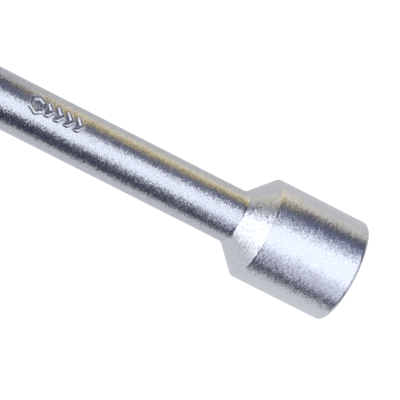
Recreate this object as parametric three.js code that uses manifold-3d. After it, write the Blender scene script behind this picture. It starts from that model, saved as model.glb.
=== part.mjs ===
// A folding four-way lug wrench, in millimetres.
//
// Two arms (19 and 17 mm) are pressed into a forged hub along X and stay put. Two more (21 and
// 23 mm) end in flat tongues, which swing in the hub's forks about upright hinge pins, from the
// open cross at rest to lie along the fixed arms. A sprung ball in each fork's upper cheek drops
// into a dimple of the tongue at both ends of the swing.
//
// The origin is the middle of the hub. X runs along the fixed arms towards the 19 mm socket,
// Y along the folding arms towards the 21 mm one, and Z along the hinge pins.
import * as THREE from "three";
import { mergeVertices } from "three/addons/utils/BufferGeometryUtils.js";
import Module from "manifold-3d";

const wasm = await Module();
wasm.setup();

// ---- Driving dimensions ----
const SHAFT_R = 8; // round bar of every arm
const FIXED_REACH = 178; // hub's middle to the mouth of a fixed arm's socket
const FOLDING_REACH = 166; // hub's middle to the mouth of a folding arm's socket
const HINGE_Y = 27; // hub's middle to a hinge pin's axis

const HEAD_LENGTH = 29; // the socket's cylinder
const HEX_DEPTH = 18; // the hexagon, from the mouth
const RELIEF_DEPTH = 26; // the round hole behind it, which takes the end of a long stud
const MOUTH_ROUND = 1.2; // the rounded edges of the socket's cylinder
const CONE_SLOPE = 0.98; // length of the shoulder's cone over the step in radius

const HUB_HALF_LENGTH = 36;
const HUB_HALF_WIDTH = 13.75; // the barrel's flat sides, which stop the tongues
const HUB_HALF_HEIGHT = 13;
const HUB_EDGE = 1.5; // bevel of the forging's outer edges
const CHEEK_R = 14; // round end of a fork's cheek, about its hinge pin
const SLOT_HALF = 5.6; // half the height of a fork's slot
const PANEL_HALF_LENGTH = 16.5; // the sunk panel on the hub's upper face, with round ends
const PANEL_R = 7.5;
const PANEL_DEPTH = 0.7;

const TONGUE_HALF = 5.25; // half the thickness of a tongue
const TONGUE_R = 13; // its round corner, and the distance of its stop faces from the pin
const WASHER_POCKET_R = 8.1;
const WASHER_POCKET_DEPTH = 0.7;

const SPIGOT_R = 7; // a fixed arm's turned end, pressed into the hub
const SPIGOT_START = 3;
const BORE_R = 7.2;
const COLLAR_END = 42;
const ROLL_PIN_X = 24;
const ROLL_PIN_R = 2.5;

const HINGE_R = 5;
const HINGE_HEAD_R = 6.4;
const BALL_R = 2;
const BALL_TRACK_R = 10.5; // the ball's distance from the hinge pin's axis
const BALL_Z = 6.5; // the ball's centre, sprung down
const PLUNGER_R = 3;
const DETENT_ANGLE = (-135 * Math.PI) / 180; // the ball's place round the hinge pin, open

const CLEARANCE = 0.2; // between parts that only rest against each other
const SIDES = 32; // facets round an arm
const SMALL_SIDES = 24; // facets round the hub's hardware

// The four sockets: width across flats, and the diameter of the head forged round it.
const SOCKETS = {
  19: { flats: 19, head: 31 },
  17: { flats: 17, head: 28.5 },
  21: { flats: 21, head: 33 },
  23: { flats: 23, head: 35.5 },
};

// ---- Geometry helpers ----

// A closed three.js geometry as a solid that can be joined and cut.
function solidOf(geometry) {
  const bare = geometry.index ? geometry.toNonIndexed() : geometry.clone();
  bare.deleteAttribute("normal");
  bare.deleteAttribute("uv");
  const merged = mergeVertices(bare, 1e-4);
  return new wasm.Manifold(
    new wasm.Mesh({
      numProp: 3,
      vertProperties: merged.attributes.position.array,
      triVerts: new Uint32Array(merged.index.array),
    }),
  );
}

// The solid as a three.js geometry.
function geometryOf(solid) {
  const mesh = solid.getMesh();
  return new THREE.BufferGeometry()
    .setAttribute("position", new THREE.BufferAttribute(mesh.vertProperties, 3))
    .setIndex(new THREE.BufferAttribute(mesh.triVerts, 1));
}

// A solid of revolution about Z from [radius, z] pairs, listed from low z to high z.
function turned(profile, sides = SIDES) {
  const points = profile.map(([radius, z]) => new THREE.Vector2(radius, z));
  return new THREE.LatheGeometry(points, sides).rotateX(Math.PI / 2);
}

// A plain round bar about Z between two heights.
function round(radius, low, high, sides = SMALL_SIDES) {
  return turned([[0, low], [radius, low], [radius, high], [0, high]], sides);
}

// A flat shape in XY carried up Z between two heights.
function prism(shape, low, high, options = {}) {
  const { bevel = 0, curveSegments = 12 } = options;
  return new THREE.ExtrudeGeometry(shape, {
    depth: high - low - 2 * bevel,
    curveSegments,
    bevelEnabled: bevel > 0,
    bevelThickness: bevel,
    bevelSize: bevel,
    bevelOffset: -bevel,
    bevelSegments: 1,
  }).translate(0, 0, low + bevel);
}

function box(low, high) {
  const size = high.map((value, axis) => value - low[axis]);
  const centre = high.map((value, axis) => (value + low[axis]) / 2);
  return new THREE.BoxGeometry(...size).translate(...centre);
}

// A regular hexagon by its width across flats, with its corners at 0, 60, 120 ... degrees.
function hexagon(flats) {
  const corner = flats / 2 / Math.cos(Math.PI / 6);
  const shape = new THREE.Shape();
  for (let i = 0; i < 6; i++) {
    const angle = (i * Math.PI) / 3;
    shape[i ? "lineTo" : "moveTo"](corner * Math.cos(angle), corner * Math.sin(angle));
  }
  return shape;
}

// ---- Materials ----
const satinChrome = new THREE.MeshStandardMaterial({ color: 0xc3c4c6, roughness: 0.3, metalness: 1 });
const hubChrome = new THREE.MeshStandardMaterial({ color: 0xb9babd, roughness: 0.4, metalness: 1 });
const zincPlate = new THREE.MeshStandardMaterial({ color: 0xc9ccd2, roughness: 0.25, metalness: 1 });
const springSteel = new THREE.MeshStandardMaterial({ color: 0x6e6f72, roughness: 0.35, metalness: 1 });
const bronze = new THREE.MeshStandardMaterial({ color: 0xb08a4a, roughness: 0.35, metalness: 1 });
const blackOxide = new THREE.MeshStandardMaterial({ color: 0x26272a, roughness: 0.45, metalness: 1 });

// ---- Arms ----

// The outside of a forged socket head on its bar, as a profile that ends at the mouth.
function headProfile(head, mouth) {
  const radius = head / 2;
  const shoulder = mouth - HEAD_LENGTH;
  const neck = shoulder - (radius - SHAFT_R) * CONE_SLOPE;
  return [
    [SHAFT_R, neck],
    [radius - MOUTH_ROUND * 0.55, shoulder - MOUTH_ROUND * 0.55],
    [radius, shoulder + MOUTH_ROUND * 0.6],
    [radius, mouth - MOUTH_ROUND],
    [radius - MOUTH_ROUND * 0.3, mouth - MOUTH_ROUND * 0.3],
    [radius - MOUTH_ROUND, mouth],
    [0, mouth],
  ];
}

// What is cut from the head: the hexagon with its lead-in chamfer, and the relief behind it.
function socketHollow(flats, mouth) {
  const corner = flats / 2 / Math.cos(Math.PI / 6);
  const relief = flats / 2 - 0.6;
  const hex = solidOf(prism(hexagon(flats), mouth - HEX_DEPTH, mouth + 1));
  const leadIn = solidOf(
    turned([
      [0, mouth - 3],
      [corner - 2.2, mouth - 3],
      [corner + 0.3, mouth + 0.2],
      [0, mouth + 0.2],
    ]),
  );
  const drilled = solidOf(
    turned([
      [0, mouth - RELIEF_DEPTH - relief * 0.35],
      [relief, mouth - RELIEF_DEPTH],
      [relief, mouth - HEX_DEPTH + 0.5],
      [0, mouth - HEX_DEPTH + 0.5],
    ]),
  );
  return hex.add(leadIn).add(drilled);
}

// A fixed arm, along +Z from the hub's middle: spigot, shoulder, bar and socket.
function fixedArm({ flats, head }) {
  const outside = turned([
    [0, SPIGOT_START],
    [SPIGOT_R - 0.6, SPIGOT_START],
    [SPIGOT_R, SPIGOT_START + 1],
    [SPIGOT_R, COLLAR_END + CLEARANCE],
    [SHAFT_R - 0.4, COLLAR_END + CLEARANCE],
    [SHAFT_R, COLLAR_END + CLEARANCE + 0.6],
    ...headProfile(head, FIXED_REACH),
  ]);
  const pinHole = new THREE.CylinderGeometry(
    ROLL_PIN_R + 0.1, ROLL_PIN_R + 0.1, 2 * SHAFT_R, SMALL_SIDES,
  )
    .rotateZ(Math.PI / 2)
    .translate(0, 0, ROLL_PIN_X);
  // Turned by 30 degrees, the hexagon has a flat above and below, as on the folding arms.
  return geometryOf(
    solidOf(outside)
      .subtract(socketHollow(flats, FIXED_REACH).rotate([0, 0, 30]))
      .subtract(solidOf(pinHole)),
  );
}

// The outline of a tongue about its hinge pin, with the arm running off along +Y. Its rear and
// right sides are flats that stop against the barrel, and a round corner passes it in between.
function tongueOutline() {
  const shape = new THREE.Shape();
  shape.moveTo(-TONGUE_R, -TONGUE_R);
  shape.lineTo(0, -TONGUE_R);
  shape.absarc(0, 0, TONGUE_R, -Math.PI / 2, 0, false);
  shape.lineTo(TONGUE_R, TONGUE_R);
  shape.bezierCurveTo(TONGUE_R, 19, 8.4, 22, 5.6, 33);
  shape.lineTo(-5.6, 33);
  shape.bezierCurveTo(-8.4, 22, -TONGUE_R, 19, -TONGUE_R, TONGUE_R);
  shape.closePath();
  return shape;
}

// A folding arm about its hinge pin at the origin, with the bar running off along +Y.
function foldingArm({ flats, head }) {
  const reach = FOLDING_REACH - HINGE_Y;
  const bar = turned([
    [0, 17],
    [TONGUE_HALF - 0.6, 17],
    [TONGUE_HALF, 18.6],
    [SHAFT_R - 0.3, 27.5],
    [SHAFT_R, 29],
    ...headProfile(head, reach),
  ]);
  const pocket = (low, high) => solidOf(round(WASHER_POCKET_R, low, high));
  const track = new THREE.TorusGeometry(BALL_TRACK_R, BALL_R + 0.2, 8, SIDES).translate(0, 0, BALL_Z);
  const dimple = (angle) =>
    solidOf(
      new THREE.SphereGeometry(BALL_R + 0.2, 14, 8).translate(
        BALL_TRACK_R * Math.cos(angle),
        BALL_TRACK_R * Math.sin(angle),
        BALL_Z - 0.3,
      ),
    );
  const floor = TONGUE_HALF - WASHER_POCKET_DEPTH;
  return geometryOf(
    solidOf(bar)
      .subtract(socketHollow(flats, reach))
      .rotate([-90, 0, 0])
      .add(solidOf(prism(tongueOutline(), -TONGUE_HALF, TONGUE_HALF, { curveSegments: 8 })))
      .subtract(solidOf(round(HINGE_R + 0.2, -20, 20)))
      .subtract(pocket(floor, 20))
      .subtract(pocket(-20, -floor))
      .subtract(solidOf(track))
      .subtract(dimple(DETENT_ANGLE))
      .subtract(dimple(DETENT_ANGLE + Math.PI / 2)),
  );
}

// ---- Hub ----

// The forging from above: a barrel along X with a rounded fork on each side.
function hubOutline() {
  const shape = new THREE.Shape();
  const end = HUB_HALF_LENGTH;
  const side = HUB_HALF_WIDTH;
  const corner = 4;
  const root = 18; // where a fork's side leaves the barrel
  const lean = (14.8 * Math.PI) / 180; // where that side meets the cheek's round end
  shape.moveTo(end, -side + corner);
  shape.lineTo(end, side - corner);
  shape.absarc(end - corner, side - corner, corner, 0, Math.PI / 2, false);
  shape.lineTo(root, side);
  shape.absarc(0, HINGE_Y, CHEEK_R, lean, Math.PI - lean, false);
  shape.lineTo(-root, side);
  shape.absarc(-end + corner, side - corner, corner, Math.PI / 2, Math.PI, false);
  shape.lineTo(-end, -side + corner);
  shape.absarc(-end + corner, -side + corner, corner, Math.PI, 1.5 * Math.PI, false);
  shape.lineTo(-root, -side);
  shape.absarc(0, -HINGE_Y, CHEEK_R, Math.PI + lean, 2 * Math.PI - lean, false);
  shape.lineTo(root, -side);
  shape.absarc(end - corner, -side + corner, corner, 1.5 * Math.PI, 2 * Math.PI, false);
  return shape;
}

// The sunk panel's outline: two half circles joined by straight sides.
function panelOutline() {
  const straight = PANEL_HALF_LENGTH - PANEL_R;
  const shape = new THREE.Shape();
  shape.absarc(straight, 0, PANEL_R, -Math.PI / 2, Math.PI / 2, false);
  shape.absarc(-straight, 0, PANEL_R, Math.PI / 2, 1.5 * Math.PI, false);
  return shape;
}

// Where the ball plunger stands in the fork on one side, side being 1 for +Y and -1 for -Y.
function plungerPlace(side) {
  return [
    side * BALL_TRACK_R * Math.cos(DETENT_ANGLE),
    side * (HINGE_Y + BALL_TRACK_R * Math.sin(DETENT_ANGLE)),
  ];
}

function hubBody() {
  const top = HUB_HALF_HEIGHT;
  const collar = (turn) =>
    solidOf(
      turned([
        [0, HUB_HALF_LENGTH - 4],
        [12.2, HUB_HALF_LENGTH - 4],
        [12.2, HUB_HALF_LENGTH + 1.5],
        [10.2, COLLAR_END],
        [0, COLLAR_END],
      ], SMALL_SIDES).rotateY((turn * Math.PI) / 2),
    );
  let hub = solidOf(prism(hubOutline(), -top, top, { bevel: HUB_EDGE, curveSegments: 5 }))
    .add(collar(1))
    .add(collar(-1))
    .subtract(solidOf(round(BORE_R, -60, 60).rotateY(Math.PI / 2)))
    .subtract(solidOf(prism(panelOutline(), top - PANEL_DEPTH, top + 1)));
  for (const side of [1, -1]) {
    const [plungerX, plungerY] = plungerPlace(side);
    const slot = side > 0
      ? box([-40, HUB_HALF_WIDTH, -SLOT_HALF], [40, 60, SLOT_HALF])
      : box([-40, -60, -SLOT_HALF], [40, -HUB_HALF_WIDTH, SLOT_HALF]);
    const at = (geometry, x, y) => solidOf(geometry.translate(x, y, 0));
    hub = hub
      .subtract(solidOf(slot))
      .subtract(at(round(HINGE_R + 0.2, -20, 20), 0, side * HINGE_Y))
      .subtract(at(round(HINGE_HEAD_R + 0.25, top - 2.5, 20), 0, side * HINGE_Y))
      .subtract(at(round(8.6, -20, -top + 2.4), 0, side * HINGE_Y))
      .subtract(at(round(PLUNGER_R + 0.1, 0, 20), plungerX, plungerY))
      .subtract(at(round(ROLL_PIN_R + 0.1, -20, 20), side * ROLL_PIN_X, 0));
  }
  return geometryOf(hub);
}

// ---- Hardware ----

// A roll pin: spring steel strip rolled into a tube, with its slot facing away from the hub.
function rollPin() {
  const outer = ROLL_PIN_R - 0.05;
  const inner = 1.5;
  const gap = 0.28; // half the slot's angle, radians
  const shape = new THREE.Shape();
  shape.absarc(0, 0, outer, gap, 2 * Math.PI - gap, false);
  shape.absarc(0, 0, inner, 2 * Math.PI - gap * 1.6, gap * 1.6, true);
  const length = HUB_HALF_HEIGHT - 0.4;
  return prism(shape, -length, length, { curveSegments: 10 });
}

// A hinge pin with a low head, and a groove near its foot for the retaining ring.
function hingePin() {
  const seat = HUB_HALF_HEIGHT - 2.5;
  return turned([
    [0, -HUB_HALF_HEIGHT + 0.4],
    [HINGE_R - 0.6, -HUB_HALF_HEIGHT + 0.4],
    [HINGE_R, -HUB_HALF_HEIGHT + 1],
    [HINGE_R, -HUB_HALF_HEIGHT + 1.2],
    [HINGE_R - 1, -HUB_HALF_HEIGHT + 1.2],
    [HINGE_R - 1, -HUB_HALF_HEIGHT + 2.3],
    [HINGE_R, -HUB_HALF_HEIGHT + 2.3],
    [HINGE_R, seat + 0.1],
    [HINGE_HEAD_R, seat + 0.1],
    [HINGE_HEAD_R, HUB_HALF_HEIGHT - 0.8],
    [HINGE_HEAD_R - 0.8, HUB_HALF_HEIGHT - 0.2],
    [0, HUB_HALF_HEIGHT],
  ], SMALL_SIDES);
}

// A retaining ring of spring steel, open on one side, with three prongs in the pin's groove.
function retainingRing() {
  const outer = 8.1;
  const mouth = 0.5; // half the opening's angle, radians
  const neckR = HINGE_R - 1 + 0.12;
  const backR = 6; // between the prongs
  const shape = new THREE.Shape();
  shape.absarc(0, 0, outer, mouth, 2 * Math.PI - mouth, false);
  shape.absarc(0, 0, neckR, 2 * Math.PI - mouth, 5.2, true);
  shape.absarc(0, 0, backR, 5.0, 3.6, true);
  shape.absarc(0, 0, neckR, 3.4, 2.9, true);
  shape.absarc(0, 0, backR, 2.7, 1.3, true);
  shape.absarc(0, 0, neckR, 1.1, mouth, true);
  const low = -HUB_HALF_HEIGHT + 1.35;
  return prism(shape, low, low + 0.8, { curveSegments: 6 });
}

// A thrust washer between tongue and cheek, lying in the tongue's pocket. level is 1 or -1.
function thrustWasher(level) {
  const low = TONGUE_HALF - WASHER_POCKET_DEPTH + 0.1;
  const high = SLOT_HALF - 0.1;
  const [from, to] = level > 0 ? [low, high] : [-high, -low];
  const inner = HINGE_R + 0.25;
  const outer = WASHER_POCKET_R - 0.25;
  return turned([[inner, from], [outer, from], [outer, to], [inner, to], [inner, from]], SMALL_SIDES);
}

// The plunger's screwed shell: open below for the ball and its spring, slotted above.
function plungerShell() {
  const top = HUB_HALF_HEIGHT - 0.4;
  const lip = BALL_Z - 0.75;
  const shell = solidOf(
    turned([
      [1.95, lip],
      [PLUNGER_R - 0.3, lip],
      [PLUNGER_R, lip + 0.3],
      [PLUNGER_R, top - 0.3],
      [PLUNGER_R - 0.3, top],
      [0, top],
      [0, top - 1.7],
      [BALL_R + 0.15, top - 1.7],
      [BALL_R + 0.15, lip + 0.5],
      [1.95, lip],
    ], SMALL_SIDES),
  );
  return geometryOf(shell.subtract(solidOf(box([-4, -0.4, top - 0.9], [4, 0.4, top + 1]))));
}

class Helix extends THREE.Curve {
  constructor(radius, low, high, turns) {
    super();
    Object.assign(this, { radius, low, high, turns });
  }
  getPoint(t, target = new THREE.Vector3()) {
    const angle = t * this.turns * 2 * Math.PI;
    return target.set(
      this.radius * Math.cos(angle),
      this.radius * Math.sin(angle),
      this.low + t * (this.high - this.low),
    );
  }
}

// The coil spring between the ball and the end of its shell.
function detentSpring() {
  const wire = 0.22;
  const section = new THREE.Shape();
  section.absarc(0, 0, wire, 0, 2 * Math.PI, false);
  const low = BALL_Z + 1.55;
  const high = HUB_HALF_HEIGHT - 0.4 - 1.7 - wire - 0.1;
  return new THREE.ExtrudeGeometry(section, {
    extrudePath: new Helix(1.5, low, high, 4),
    steps: 44,
    curveSegments: 3,
  });
}

function detentBall() {
  return new THREE.SphereGeometry(BALL_R, 16, 10).rotateX(Math.PI / 2).translate(0, 0, BALL_Z);
}

// ---- Assembly ----
const wrench = new THREE.Group();

function add(name, geometry, material, parent = wrench) {
  const mesh = new THREE.Mesh(geometry, material);
  mesh.name = name;
  parent.add(mesh);
  return mesh;
}

add("hub_body", hubBody(), hubChrome);

// The fixed arms, each with the roll pin that holds its spigot.
for (const [size, turn] of [[19, 1], [17, -1]]) {
  add(`fixed_arm_${size}`, fixedArm(SOCKETS[size]), satinChrome).rotation.y = (turn * Math.PI) / 2;
  const pin = add(`roll_pin_${size}`, rollPin(), springSteel);
  pin.position.x = turn * ROLL_PIN_X;
  pin.rotation.z = turn > 0 ? 0 : Math.PI;
}

// The folding arms. The second fork is the first turned half round about Z.
for (const [size, side] of [[21, 1], [23, -1]]) {
  const fork = new THREE.Group();
  fork.rotation.z = side > 0 ? 0 : Math.PI;
  wrench.add(fork);
  const hinge = new THREE.Group();
  hinge.position.y = HINGE_Y;
  fork.add(hinge);
  add(`folding_arm_${size}`, foldingArm(SOCKETS[size]), satinChrome, hinge);
  add(`hinge_pin_${size}`, hingePin(), zincPlate, hinge);
  add(`retaining_ring_${size}`, retainingRing(), springSteel, hinge);
  add(`upper_washer_${size}`, thrustWasher(1), bronze, hinge);
  add(`lower_washer_${size}`, thrustWasher(-1), bronze, hinge);

  const plunger = new THREE.Group();
  const [x, y] = plungerPlace(1);
  plunger.position.set(x, y, 0);
  fork.add(plunger);
  add(`plunger_shell_${size}`, plungerShell(), blackOxide, plunger);
  add(`detent_spring_${size}`, detentSpring(), springSteel, plunger);
  add(`detent_ball_${size}`, detentBall(), zincPlate, plunger);
}

export default wrench;
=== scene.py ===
import math

import bpy
import numpy as np
from mathutils import Matrix, Vector


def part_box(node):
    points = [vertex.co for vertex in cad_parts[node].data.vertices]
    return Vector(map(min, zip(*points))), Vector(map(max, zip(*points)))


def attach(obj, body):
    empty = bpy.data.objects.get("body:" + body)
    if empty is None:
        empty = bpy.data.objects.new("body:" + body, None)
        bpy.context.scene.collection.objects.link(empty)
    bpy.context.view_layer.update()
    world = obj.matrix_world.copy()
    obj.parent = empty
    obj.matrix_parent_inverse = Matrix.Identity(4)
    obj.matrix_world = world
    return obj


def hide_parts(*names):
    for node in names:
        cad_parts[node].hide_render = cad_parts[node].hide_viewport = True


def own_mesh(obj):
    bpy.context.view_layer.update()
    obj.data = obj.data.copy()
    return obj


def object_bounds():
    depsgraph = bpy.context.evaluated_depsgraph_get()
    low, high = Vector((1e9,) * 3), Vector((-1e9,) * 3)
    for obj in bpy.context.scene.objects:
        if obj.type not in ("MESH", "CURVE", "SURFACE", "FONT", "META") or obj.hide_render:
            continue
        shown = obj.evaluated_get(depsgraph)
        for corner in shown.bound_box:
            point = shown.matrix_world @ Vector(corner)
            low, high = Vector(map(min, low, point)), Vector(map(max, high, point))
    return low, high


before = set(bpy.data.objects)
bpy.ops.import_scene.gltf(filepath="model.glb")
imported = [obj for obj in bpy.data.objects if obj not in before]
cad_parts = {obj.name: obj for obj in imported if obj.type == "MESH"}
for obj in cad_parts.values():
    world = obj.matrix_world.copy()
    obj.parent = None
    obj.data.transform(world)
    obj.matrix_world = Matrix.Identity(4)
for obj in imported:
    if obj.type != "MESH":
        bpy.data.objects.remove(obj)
cad_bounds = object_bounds()
MM = 0.001


# ---- Fixed arms ----
# Two lengths of 16 mm round steel bar with a socket forged on the end: a cone, a cylinder, and a
# hexagon pressed into its mouth. Their turned spigots are pressed into the hub's bore. The bar
# is linished across its length and satin chromed.

SHAFT = 8 * MM  # the bar's radius
HEAD_LENGTH = 29 * MM
HEX_DEPTH = 18 * MM
RELIEF_DEPTH = 26 * MM
CONE_SLOPE = 0.98  # length of the shoulder's cone over the step in radius
FIXED_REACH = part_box("fixed_arm_19")[1].x
SPIGOT_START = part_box("fixed_arm_19")[0].x
SHOULDER = 42.2 * MM  # where the bar begins, against the hub's collar
MARK_LENGTH = 18 * MM  # the raised size mark on the bar
MARK_HEIGHT = 0.5 * MM
MARK_TURN = math.radians(66)  # round the bar, from its side
MARK_BACK = 61.8 * MM  # from the cone to the mark's middle
UP = (0.0, 0.0, 1.0)
SPIGOT = 7.0  # a radius; values without MM are in millimetres, as are all fields
SPIGOT_JOIN = 41.15  # where the spigot's skin meets the first ring
ROLL_PIN_X = 24.0
ROLL_PIN_HOLE = 2.6
CELL = 0.4  # of the grids under the arms' skins


def rounded(corners, steps=5):
    """A polyline of (x, y, radius) with each corner rounded: an arc of that radius that touches
    both sides, whose centre lies on the corner's bisector. Radius 0 keeps the corner."""
    places = np.array([corner[:2] for corner in corners], float)
    out = [places[:1]]
    for before, here, after, (_, _, radius) in zip(places, places[1:], places[2:], corners[1:-1]):
        back, on = before - here, after - here
        back, on = back / np.hypot(*back), on / np.hypot(*on)
        half = math.acos(np.clip(back @ on, -1, 1)) / 2
        if radius <= 0 or abs(half - math.pi / 2) < 1e-3:
            out.append(here[None])
            continue
        bisector = (back + on) / np.hypot(*(back + on))
        centre = here + bisector * radius / math.sin(half)
        first = here + back * radius / math.tan(half) - centre
        last = here + on * radius / math.tan(half) - centre
        part = np.linspace(0, 1, steps + 1)[:, None]
        sweep = math.pi - 2 * half
        arc = (np.sin((1 - part) * sweep) * first + np.sin(part * sweep) * last) / math.sin(sweep)
        out.append(centre + arc)
    out.append(places[-1:])
    return np.concatenate(out)


def mesh_of(name, points, *face_sets):
    """A smooth mesh from points and arrays of quads or triangles. Each corner's normal is the
    mean of its faces' normals weighted by their areas, so a flat beside a small round stays flat."""
    points = np.asarray(points, float)
    sizes = np.concatenate([np.full(len(faces), faces.shape[1]) for faces in face_sets])
    corners = np.concatenate([faces.ravel() for faces in face_sets])
    mesh = bpy.data.meshes.new(name)
    mesh.vertices.add(len(points))
    mesh.vertices.foreach_set("co", points.ravel())
    mesh.loops.add(len(corners))
    mesh.loops.foreach_set("vertex_index", corners)
    mesh.polygons.add(len(sizes))
    mesh.polygons.foreach_set("loop_start", np.cumsum(sizes) - sizes)
    mesh.update(calc_edges=True)
    mesh.shade_smooth()
    normals = np.zeros_like(points)
    for faces in face_sets:
        across = points[faces[:, -1]] - points[faces[:, 1]]
        along = points[faces[:, 2 % faces.shape[1]]] - points[faces[:, 0]]
        area = np.cross(along, across)
        for column in faces.T:
            np.add.at(normals, column, area)
    normals /= np.maximum(np.linalg.norm(normals, axis=1, keepdims=True), 1e-12)
    mesh.normals_split_custom_set_from_vertices(normals)
    return mesh


def tube_faces(rows, columns):
    """The quads of rows of points that each close on themselves."""
    row, column = np.meshgrid(np.arange(rows - 1), np.arange(columns), indexing="ij")
    beside = (column + 1) % columns
    low, high = row * columns, (row + 1) * columns
    return np.stack([low + column, low + beside, high + beside, high + column], -1).reshape(-1, 4)


def cap_faces(ring, pole, outward):
    """The triangles from a ring of points to the pole that closes it."""
    beside = np.roll(ring, -1)
    pair = (ring, beside) if outward else (beside, ring)
    return np.stack([np.full(len(ring), pole), *pair], -1)


def hexagon(turns, flats):
    """The radius of a hexagon with slightly rounded corners at each turn: half its width over
    flats, divided by the 40-norm of the cosines of the turn to its three pairs of flats."""
    sides = np.abs(np.cos(turns[:, None] - np.pi / 2 + np.arange(3) * np.pi / 3))
    return flats / 2 / (sides**40).sum(1) ** (1 / 40)


def size_mark(along, around, chevrons):
    """The height, from 0 to 1, of the raised size mark: a nut's hexagon, then a row of chevrons,
    more on a larger socket. Each stroke is half an ellipse in section about its middle line,
    which for a chevron is two slanting lines that meet."""
    width, nut_at, nut, half, slant = 0.72 * MM, -5.9 * MM, 2.1 * MM, 1.6 * MM, 0.75
    ahead = along - nut_at
    sides = [np.abs(ahead * np.cos(turn) + around * np.sin(turn)) for turn in np.arange(3) * np.pi / 3]
    near = np.abs(np.max(sides, axis=0) - nut)
    for tip in np.linspace(-1 * MM, 8.6 * MM, chevrons):
        line = np.abs(np.abs(around) * slant + along - tip) / math.hypot(1, slant)
        near = np.minimum(near, np.maximum(line, np.abs(around) - half))
    return np.sqrt(1 - np.clip(near / width, 0, 1) ** 2)


def neck_of(head, reach):
    """The place along an arm where its cone begins: the mouth less the cylinder and the cone."""
    return reach - HEAD_LENGTH - (head / 2 - SHAFT) * CONE_SLOPE


def arm_rings(start, flats, head, reach, mark, chevrons):
    """The arm's surface from the outline start, corners of (place along the arm, radius, round),
    to the socket's bottom: the turns, then the places and the radii with a row for each ring."""
    radius = head / 2
    shoulder, neck = reach - HEAD_LENGTH, neck_of(head, reach)
    span = 0.42  # radians on each side of the mark's middle, with closer columns than the rest
    turns = MARK_TURN + np.concatenate([
        np.linspace(-span, span, 48, endpoint=False),
        np.linspace(span, 2 * np.pi - span, 168, endpoint=False),
    ])

    outside = rounded([
        *start,
        (mark - MARK_LENGTH * 0.6, SHAFT, 0),
        *[(place, SHAFT, 0) for place in mark + np.linspace(-0.55, 0.55, 125) * MARK_LENGTH],
        (neck, SHAFT, 2.2 * MM),
        (shoulder, radius, 0.7 * MM),
        (reach - 8 * MM, radius, 0),
        (reach, radius, 1.25 * MM),
        (reach, flats / 2 / math.cos(math.pi / 6) + 0.15 * MM, 0),
    ])
    along = np.repeat(outside[:, :1], len(turns), 1)
    away = np.repeat(outside[:, 1:], len(turns), 1)
    bend = (turns - MARK_TURN + np.pi) % (2 * np.pi) - np.pi
    raised = size_mark(along - mark, np.repeat(bend[None] * SHAFT, len(along), 0), chevrons)
    away += MARK_HEIGHT * raised * (np.abs(along - mark) < 0.56 * MARK_LENGTH)

    # Inside: the lead-in runs down to the hexagon, further at its flats than at its corners.
    six = hexagon(turns, flats)
    mouth = away[-1, 0]
    chamfer_end = reach - (mouth - six) / 0.78
    relief = flats / 2 - 0.6 * MM
    floor = reach - HEX_DEPTH
    inside = [
        (reach - 0.12 * MM, mouth - 0.05 * MM),
        ((reach + chamfer_end) / 2, (mouth + six) / 2),
        (chamfer_end + 0.08 * MM, six + 0.05 * MM),
        (chamfer_end - 0.1 * MM, six),
        (reach - 6 * MM, six),
        (floor + 0.15 * MM, six),
        (floor, six - 0.15 * MM),
        (floor, relief + 0.15 * MM),
        (floor - 0.15 * MM, relief),
        (reach - RELIEF_DEPTH + 0.2 * MM, relief),
        (reach - RELIEF_DEPTH, relief - 0.2 * MM),
        (reach - RELIEF_DEPTH - relief * 0.33, 0.06 * relief),
    ]
    along = np.concatenate([along, [place + 0 * six for place, _ in inside]])
    away = np.concatenate([away, [out + 0 * six for _, out in inside]])
    return turns, along, away


def placed(turns, along, away, axis, foot):
    """Points at a place along the axis from the foot, and at a radius and turn about it."""
    round_it = np.cos(turns)[:, None] * np.cross(UP, axis) + np.sin(turns)[:, None] * np.array(UP)
    return foot + along[..., None] * axis + away[..., None] * round_it


def blend_max(a, b, radius):
    """The larger of two fields, rounded where they meet: max plus h squared over four radii, h
    being how much closer than the radius they are."""
    h = np.maximum(radius - np.abs(a - b), 0)
    return np.maximum(a, b) + h * h / (4 * radius)


def bored(body, points, x, y, radius, low, high, edge=0.3):
    """A body's field less a round hole along z, with its edges broken."""
    hole = np.hypot(points[..., 0] - x, points[..., 1] - y) - radius
    depth = np.maximum(low - points[..., 2], points[..., 2] - high)
    return blend_max(body, -blend_max(hole, depth, 0.15), edge)


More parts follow.
